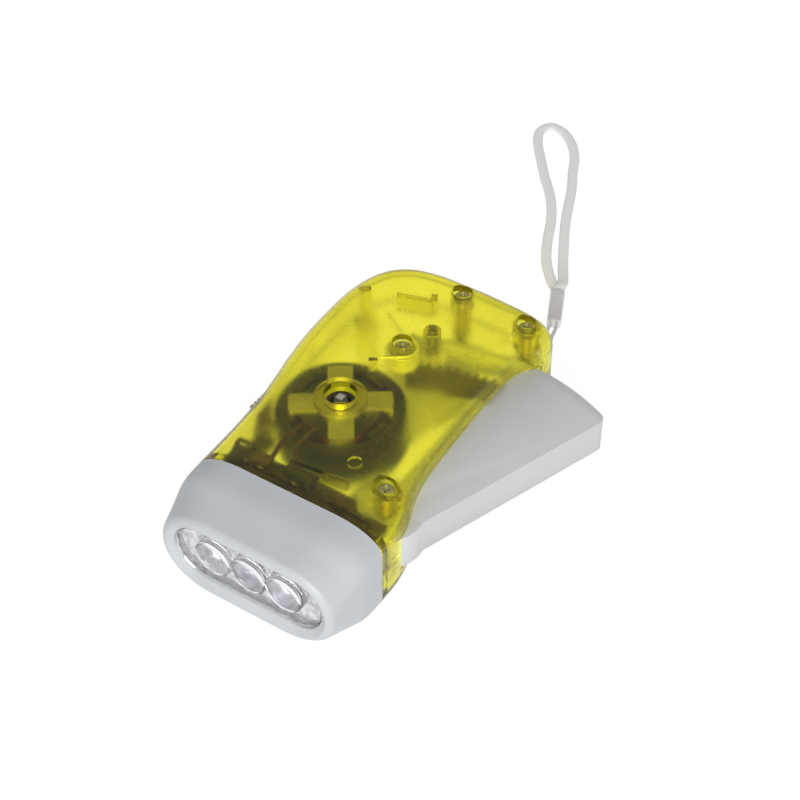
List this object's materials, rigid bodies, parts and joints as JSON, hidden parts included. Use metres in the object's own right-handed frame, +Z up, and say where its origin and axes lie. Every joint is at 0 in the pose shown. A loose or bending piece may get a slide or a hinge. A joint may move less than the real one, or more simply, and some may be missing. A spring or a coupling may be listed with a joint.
{
  "type": "squeeze dynamo flashlight",
  "caption": "Palm-size flashlight with a hand lever, sector gear train and claw-pole dynamo in a clear two-shell housing, lens head and wrist strap.",
  "frame": {"origin": "on the flat underside, 53.4 mm behind the front of the head and on the head's middle line", "axes": "+Z up from the broad underside, +Y from the head to the tail, +X toward the squeeze lever"},
  "size_m": [0.0869, 0.2129, 0.028],
  "materials": {
    "clear_yellow": "clear tinted gloss",
    "grey_plastic": "fine satin",
    "clear_lens": "clear gloss",
    "chrome": "mirror",
    "green_board": "satin",
    "dark_steel": "dark satin",
    "zinc": "satin",
    "nylon": "satin",
    "copper": "satin enamelled copper",
    "steel": "satin",
    "red_wire": "satin",
    "orange_wire": "satin",
    "black_wire": "satin",
    "strap_cord": "woven",
    "black_plastic": "satin"
  },
  "bodies": {
    "housing": {"upper_shell": "clear_yellow", "lower_shell": "clear_yellow", "head_cap": "grey_plastic", "front_lens": "clear_lens", "reflector": "chrome", "led_left": "clear_lens", "led_middle": "clear_lens", "led_right": "clear_lens", "led_board": "green_board", "circuit_board": "green_board", "switch_body": "dark_steel", "upper_claw": "zinc", "lower_claw": "zinc", "coil_bobbin": "nylon", "coil_winding": "copper", "stator_core": "steel", "drive_gear_pin": "steel", "clutch_pin": "steel", "flywheel_pin": "steel", "pivot_screw": "dark_steel", "tail_screw_middle": "dark_steel", "tail_screw_right": "dark_steel", "spool_screw": "dark_steel", "spring_spool": "nylon", "return_spring": "steel", "coil_lead_left": "red_wire", "coil_lead_right": "orange_wire", "switch_lead_upper": "red_wire", "switch_lead_lower": "black_wire", "strap_string": "strap_cord", "strap_tape": "strap_cord", "strap_crimp": "steel"},
    "lever": {"squeeze_lever": "grey_plastic"},
    "first_gear": {"drive_gear": "nylon"},
    "second_gear": {"clutch_wheel": "nylon", "clutch_pinion": "nylon"},
    "rotor": {"flywheel": "black_plastic", "rotor_pinion": "nylon", "ring_magnet": "dark_steel"},
    "switch": {"switch_knob": "grey_plastic"}
  },
  "joints": [
    {"name": "squeeze", "type": "hinge", "parent": "housing", "child": "lever", "pos_m": [0.0178, -0.0212, 0.014], "axis": [0, 0, 1], "range_deg": [0, 16.5], "stiffness_Nm_per_rad": 0.5, "springref_deg": -17.19, "deforming": ["return_spring"]},
    {"name": "drive_spin", "type": "hinge", "parent": "housing", "child": "first_gear", "pos_m": [-0.00227, 0.03108, 0.014], "axis": [0, 0, 1], "range_deg": [-272.25, 0]},
    {"name": "clutch_spin", "type": "hinge", "parent": "housing", "child": "second_gear", "pos_m": [-0.00801, 0.01529, 0.006], "axis": [0, 0, 1], "range_deg": [0, 816.75]},
    {"name": "flywheel_spin", "type": "hinge", "parent": "housing", "child": "rotor", "pos_m": [-0.00845, -0.0015, 0.014], "axis": [0, 0, 1], "range_deg": [-2450.25, 0]},
    {"name": "switch_slide", "type": "slide", "parent": "housing", "child": "switch", "axis": [0, -1, 0], "range_m": [0, 0.0025]}
  ],
  "couplings": [
    {"joint": "drive_spin", "follows": "squeeze", "ratio": -16.5},
    {"joint": "clutch_spin", "follows": "squeeze", "ratio": 49.5},
    {"joint": "flywheel_spin", "follows": "squeeze", "ratio": -148.5}
  ]
}
